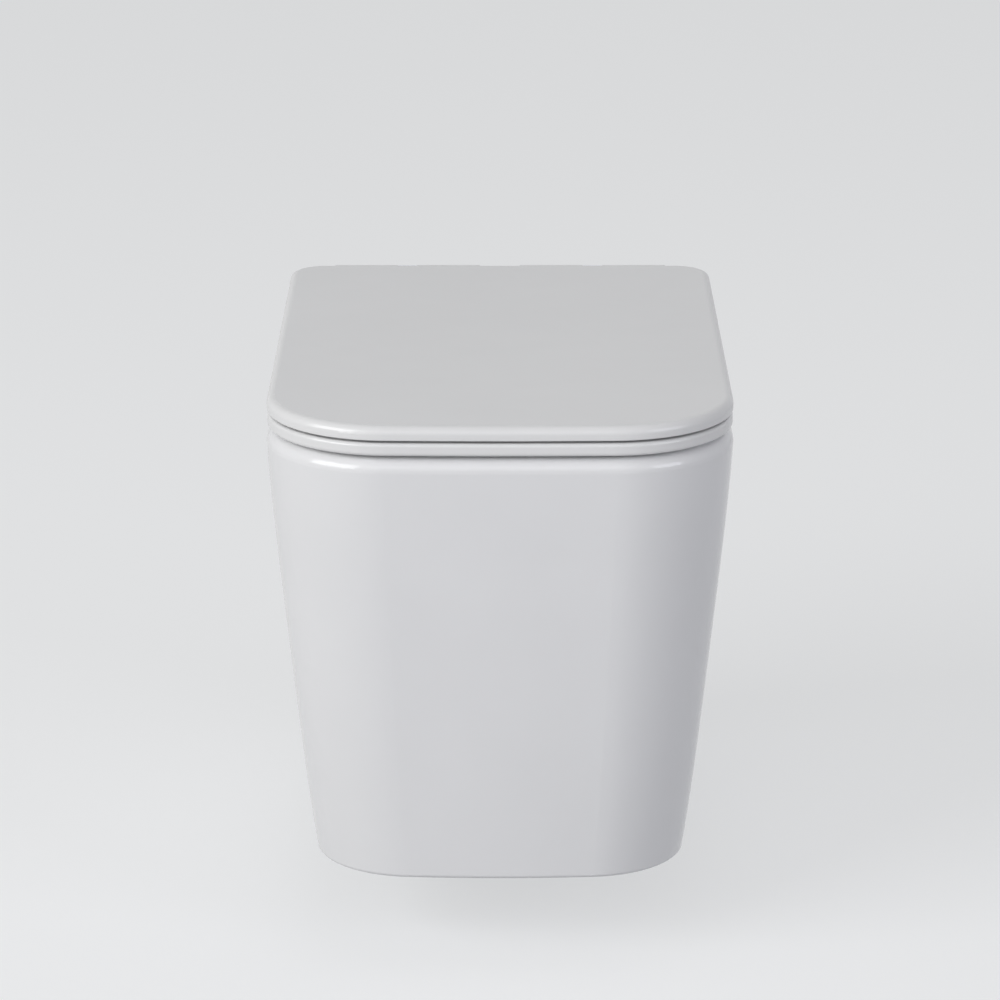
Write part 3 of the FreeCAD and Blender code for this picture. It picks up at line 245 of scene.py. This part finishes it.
def moulded_acetal(dark, pale):
    """Acetal, injection moulded with a fine spark-eroded grain, self-coloured."""
    def surface(tree, place):
        cloud = add(tree, "ShaderNodeTexNoise", {"Vector": place, "Scale": 1 / (10 * MM)})
        grain = add(tree, "ShaderNodeTexNoise",
                    {"Vector": place, "Scale": 1 / (0.7 * MM), "Detail": 3})
        return add(tree, "ShaderNodeBsdfPrincipled", {
            "Base Color": add(tree, "ShaderNodeMix", {0: cloud, 6: dark, 7: pale}, 2,
                              data_type="RGBA"),
            "Roughness": add(tree, "ShaderNodeMapRange",
                             {"Value": grain, "To Min": 0.36, "To Max": 0.52}),
            "IOR": 1.48,
            "Normal": add(tree, "ShaderNodeBump", {"Height": grain, "Distance": 0.04 * MM}),
        })
    return surface


CERAMIC = finish("vitreous_china_white_glaze", glazed_ware)
UREA = finish("urea_thermoset_white", pressed_urea)
PAD = finish("elastomer_pad_milky", soft_pad)
CHROME = finish("chrome_plated_zinc", plated_zinc_casting)
STEEL = finish("stainless_steel_turned", turned_steel)
GALVANISED = finish("galvanised_steel_plate", zinc_flake)
RUBBER = finish("epdm_rubber_black", black_rubber)
DAMPER = finish("acetal_dark_grey", moulded_acetal("#3A3C40", "#45474B"))
ACETAL = finish("acetal_natural", moulded_acetal("#D6D5CD", "#DFDED8"))

FINISH_OF = {
    "pan": CERAMIC,
    "lid": UREA,
    "seat_ring": UREA,
    "side_caps": UREA,
    "lid_buffers": PAD,
    "seat_buffers": PAD,
    "hinge_gaskets": PAD,
    "hinge_base_left": CHROME,
    "hinge_base_right": CHROME,
    "hinge_post_left": CHROME,
    "hinge_post_right": CHROME,
    "hinge_screws": STEEL,
    "lid_damper_shaft": STEEL,
    "seat_damper_shaft": STEEL,
    "lid_hinge_pin": STEEL,
    "seat_hinge_pin": STEEL,
    "stud_washers": STEEL,
    "stud_nuts": STEEL,
    "side_screws": STEEL,
    "expanding_sleeves": RUBBER,
    "hinge_nuts": ACETAL,
    "lid_bush": ACETAL,
    "seat_bush": ACETAL,
    "rib_bushes": ACETAL,
    "lid_damper": DAMPER,
    "seat_damper": DAMPER,
    "wall_bracket_left": GALVANISED,
    "wall_bracket_right": GALVANISED,
}
for name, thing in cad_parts.items():
    thing.data.materials.clear()
    thing.data.materials.append(FINISH_OF[name])


# ---------------------------------------------------------------- repeated details

SOCKET_OF = {tuple: "NodeSocketVector", float: "NodeSocketFloat", int: "NodeSocketInt"}


def tree_with(name, sizes):
    """An empty geometry tree with a named input for each size, and those inputs' sockets."""
    tree = bpy.data.node_groups.new(name, "GeometryNodeTree")
    for size, value in sizes.items():
        tree.interface.new_socket(size, in_out="INPUT", socket_type=SOCKET_OF[type(value)])
    tree.interface.new_socket("Geometry", in_out="OUTPUT", socket_type="NodeSocketGeometry")
    return tree, add(tree, "NodeGroupInput", {}, None)


def grown(name, tree, sizes, shape, material, body):
    """Makes the tree's result a plain mesh that rides on the body."""
    real = add(tree, "GeometryNodeRealizeInstances", {0: shape})
    coated = add(tree, "GeometryNodeSetMaterial", {0: real, "Material": material})
    add(tree, "NodeGroupOutput", {0: coated}, None)
    maker = bpy.data.objects.new(name + "_maker", bpy.data.meshes.new(name + "_maker"))
    bpy.context.scene.collection.objects.link(maker)
    modifier = maker.modifiers.new("grow", "NODES")
    modifier.node_group = tree
    for item in tree.interface.items_tree:
        if item.in_out == "INPUT":
            modifier[item.identifier] = sizes[item.name]
    bpy.context.view_layer.update()
    made = maker.evaluated_get(bpy.context.evaluated_depsgraph_get())
    mesh = bpy.data.meshes.new_from_object(made)
    bpy.data.objects.remove(maker)
    piece = bpy.data.objects.new(name, mesh)
    bpy.context.scene.collection.objects.link(piece)
    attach(piece, body)


def on_both_sides(tree, shape, centre):
    """The shape at the right-hand centre and, turned half round, at the left-hand one."""
    across = add(tree, "ShaderNodeVectorMath", {0: centre, 1: (-2.0, 0.0, 0.0)},
                 operation="MULTIPLY")
    places = add(tree, "GeometryNodeMeshLine",
                 {"Count": 2, "Start Location": centre, "Offset": across})
    side = add(tree, "GeometryNodeInputIndex", {})
    half_turn = add(tree, "ShaderNodeMath", {0: side, 1: math.pi}, operation="MULTIPLY")
    turn = add(tree, "ShaderNodeCombineXYZ", {2: half_turn})
    return add(tree, "GeometryNodeInstanceOnPoints",
               {"Points": places, "Instance": shape, "Rotation": turn})


def swept(tree, path, radius):
    """A round wire of that radius along the path."""
    section = add(tree, "GeometryNodeCurvePrimitiveCircle", {"Resolution": 10, "Radius": radius})
    return add(tree, "GeometryNodeCurveToMesh",
               {0: path, "Profile Curve": section, "Fill Caps": True})


def grip_rings(name, centre, radius, wire, pitch, count):
    """Moulded rings round the rubber sleeves, lowest first, that grip the ceramic when squeezed."""
    sizes = {"Centre": centre, "Radius": radius, "Wire": wire, "Pitch": pitch, "Count": count}
    tree, size = tree_with(name, sizes)
    circle = add(tree, "GeometryNodeCurvePrimitiveCircle",
                 {"Resolution": 48, "Radius": size["Radius"]})
    ring = swept(tree, circle, size["Wire"])
    step = add(tree, "ShaderNodeCombineXYZ", {2: size["Pitch"]})
    rise = add(tree, "GeometryNodeMeshLine", {"Count": size["Count"], "Offset": step})
    stack = add(tree, "GeometryNodeInstanceOnPoints", {"Points": rise, "Instance": ring})
    pair = on_both_sides(tree, stack, size["Centre"])
    grown(name, tree, sizes, pair, RUBBER, "pan")


def screw_thread(name, tip, lean, radius, pitch, length):
    """The thread on a pair of screws' ends, one turn a pitch, from the right-hand tip inwards."""
    sizes = {"Tip": tip, "Radius": radius, "Wire": THREAD_RIDGE * pitch, "Turns": length / pitch,
             "Length": length}
    tree, size = tree_with(name, sizes)
    helix = add(tree, "GeometryNodeCurveSpiral", {
        "Resolution": 28, "Rotations": size["Turns"], "Start Radius": size["Radius"],
        "End Radius": size["Radius"], "Height": size["Length"],
    })
    ridge = swept(tree, helix, size["Wire"])
    laid = add(tree, "GeometryNodeTransform", {0: ridge, "Rotation": lean})
    pair = on_both_sides(tree, laid, size["Tip"])
    grown(name, tree, sizes, pair, STEEL, "pan")


# The right-hand screws' lines: the hinge screw's in x and y, the side screw's in y and z.
HINGE_SCREW_AT = (77.5 * MM, -54.5 * MM)
SIDE_SCREW_AT = (-50 * MM, 0.0)
BRACKET_PLATE = 8 * MM
SIDE_SCREW_TAIL = 4 * MM  # how far the side screw comes through the bracket's plate
M6_RADIUS, M6_PITCH = 3 * MM, 1.0 * MM
M8_RADIUS, M8_PITCH = 4 * MM, 1.25 * MM
THREAD_RIDGE = 0.3  # the ridge's radius as a share of the pitch
THREAD_MARGIN = 0.5 * MM  # plain end before the first turn
SLEEVE_RADIUS = 9.5 * MM
RING_WIRE, RING_PITCH, RING_COUNT = 0.45 * MM, 2 * MM, 5
UPRIGHT, LEVEL = (0.0, 0.0, 0.0), (0.0, math.pi / 2, 0.0)

nut_low, nut_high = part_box("hinge_nuts")
screw_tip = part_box("hinge_screws")[0].z
bracket_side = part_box("wall_bracket_right")[1].x
side_tip = bracket_side - BRACKET_PLATE - SIDE_SCREW_TAIL

grip_rings("sleeve_grip_rings", (*HINGE_SCREW_AT, nut_high.z + RING_PITCH),
           SLEEVE_RADIUS, RING_WIRE, RING_PITCH, RING_COUNT)
screw_thread("hinge_screw_threads", (*HINGE_SCREW_AT, screw_tip + THREAD_MARGIN), UPRIGHT,
             M6_RADIUS, M6_PITCH, nut_low.z - screw_tip - THREAD_MARGIN)
screw_thread("side_screw_threads", (side_tip + THREAD_MARGIN, *SIDE_SCREW_AT), LEVEL,
             M8_RADIUS, M8_PITCH, SIDE_SCREW_TAIL - THREAD_MARGIN)


# ---------------------------------------------------------------- floor, light, camera

FLOOR_LEVEL = -0.3347  # the toilet hangs 69 mm above it
FLOOR_SIZE = 24
FLOOR_GLOW = 0.6  # how much of the floor's seen colour is its own
ROOM_LIGHT = 0.27
TARGET = Vector((0, -0.28, -0.08))
CAMERA_AT = (0, -4.514, 1.2513)
CAMERA_DIP = 0.294
LENS_MM, FILM_MM = 198, 36
VIEW_END = 60


def shown_directly(tree):
    """1 for rays that show a thing as it is: to the camera, in a mirror image or through glass."""
    path = add(tree, "ShaderNodeLightPath", {}, None)
    seen = add(tree, "ShaderNodeMath", {0: path["Is Camera Ray"], 1: path["Is Glossy Ray"]},
               operation="MAXIMUM")
    return add(tree, "ShaderNodeMath", {0: seen, 1: path["Is Transmission Ray"]},
               operation="MAXIMUM")


def pale_floor():
    """Matt grey-white studio floor that looks paler than the light it throws back, and keeps the
    toilet's soft shadow."""
    material = bpy.data.materials.new("studio_floor_pale")
    material.use_nodes = True
    tree = material.node_tree
    tree.nodes.clear()
    shown = shown_directly(tree)
    paint = add(tree, "ShaderNodeMix", {0: shown, 6: "#B4B5B7", 7: "#F1F2F3"}, 2, data_type="RGBA")
    matt = add(tree, "ShaderNodeBsdfDiffuse", {"Color": paint})
    glow = add(tree, "ShaderNodeEmission", {"Color": "#F4F5F6", "Strength": 1.0})
    share = add(tree, "ShaderNodeMath", {0: shown, 1: FLOOR_GLOW}, operation="MULTIPLY")
    both = add(tree, "ShaderNodeMixShader", {0: share, 1: matt, 2: glow})
    add(tree, "ShaderNodeOutputMaterial", {"Surface": both}, None)
    return material


bpy.ops.mesh.primitive_plane_add(size=FLOOR_SIZE, location=(0, 0, FLOOR_LEVEL))
floor = bpy.context.object
floor.name = "floor"
floor.data.materials.append(pale_floor())


def softbox(name, place, width, height, power, hex_colour):
    """A rectangular lamp at the place, aimed at the toilet and itself out of sight."""
    light = bpy.data.lights.new(name, "AREA")
    light.shape = "RECTANGLE"
    light.size, light.size_y = width, height
    light.energy = power
    light.color = linear(hex_colour)[:3]
    lamp = bpy.data.objects.new(name, light)
    bpy.context.scene.collection.objects.link(lamp)
    lamp.location = place
    lamp.rotation_euler = (TARGET - Vector(place)).to_track_quat("-Z", "Y").to_euler()
    lamp.visible_camera = False


def even_light(name, strength, softness, heading):
    """Light that comes from one heading at the same strength everywhere, as off a wide diffuser."""
    light = bpy.data.lights.new(name, "SUN")
    light.energy = strength
    light.angle = math.radians(softness)
    lamp = bpy.data.objects.new(name, light)
    bpy.context.scene.collection.objects.link(lamp)
    lamp.rotation_euler = Vector(heading).to_track_quat("-Z", "Y").to_euler()
    return lamp


softbox("key", (-4.0, -3.3, 2.3), width=4.2, height=3.0, power=200, hex_colour="#FFFFFF")
softbox("fill", (3.8, -3.2, 1.6), width=2.4, height=2.0, power=54, hex_colour="#F4F5FF")
softbox("front", (0.0, -4.7, 2.6), width=3.6, height=2.4, power=26, hex_colour="#FFFFFF")
even_light("ceiling", strength=0.03, softness=60, heading=(0.0, 0.0, -1.0))
rear = even_light("rear", strength=0.42, softness=40, heading=(-0.3, -0.95, -0.2))
rear.visible_glossy = False  # or its mirror image would brighten the lid

world = bpy.data.worlds.new("studio")
bpy.context.scene.world = world
world.use_nodes = True
sky = world.node_tree
sky.nodes.clear()
room = add(sky, "ShaderNodeBackground", {"Color": "#F7F7F8", "Strength": ROOM_LIGHT})
backdrop = add(sky, "ShaderNodeBackground", {"Color": "#E9EAEC", "Strength": 1.0})
blend = add(sky, "ShaderNodeMixShader", {0: shown_directly(sky), 1: room, 2: backdrop})
add(sky, "ShaderNodeOutputWorld", {"Surface": blend}, None)

lens = bpy.data.cameras.new("camera")
lens.lens = LENS_MM
lens.sensor_width = FILM_MM
lens.clip_end = VIEW_END
camera = bpy.data.objects.new("camera", lens)
bpy.context.scene.collection.objects.link(camera)
camera.location = CAMERA_AT
camera.rotation_euler = (math.pi / 2 - CAMERA_DIP, 0, 0)
bpy.context.scene.camera = camera
bpy.context.scene.view_settings.view_transform = "Standard"
